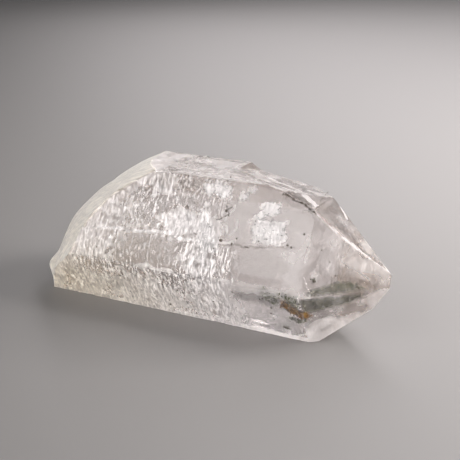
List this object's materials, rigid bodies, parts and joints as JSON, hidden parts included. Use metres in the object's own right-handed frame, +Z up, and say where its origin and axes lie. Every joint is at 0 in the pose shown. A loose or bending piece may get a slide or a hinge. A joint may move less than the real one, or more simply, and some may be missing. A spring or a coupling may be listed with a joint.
{
  "type": "quartz crystal",
  "caption": "Clear natural quartz point lying on a prism face, with an uneven six-sided tip at one end and a curved glassy break at the other.",
  "frame": {"origin": "on the surface it rests on, under the middle of its overall box", "axes": "+X along the crystal's long axis towards its point, +Z up, square to the prism face it rests on"},
  "size_m": [0.0982, 0.0406, 0.038],
  "materials": {
    "quartz": "frosted, cross-striated natural crystal faces with milky veils inside"
  },
  "bodies": {
    "root": {"quartz_crystal": "quartz"}
  },
  "joints": []
}
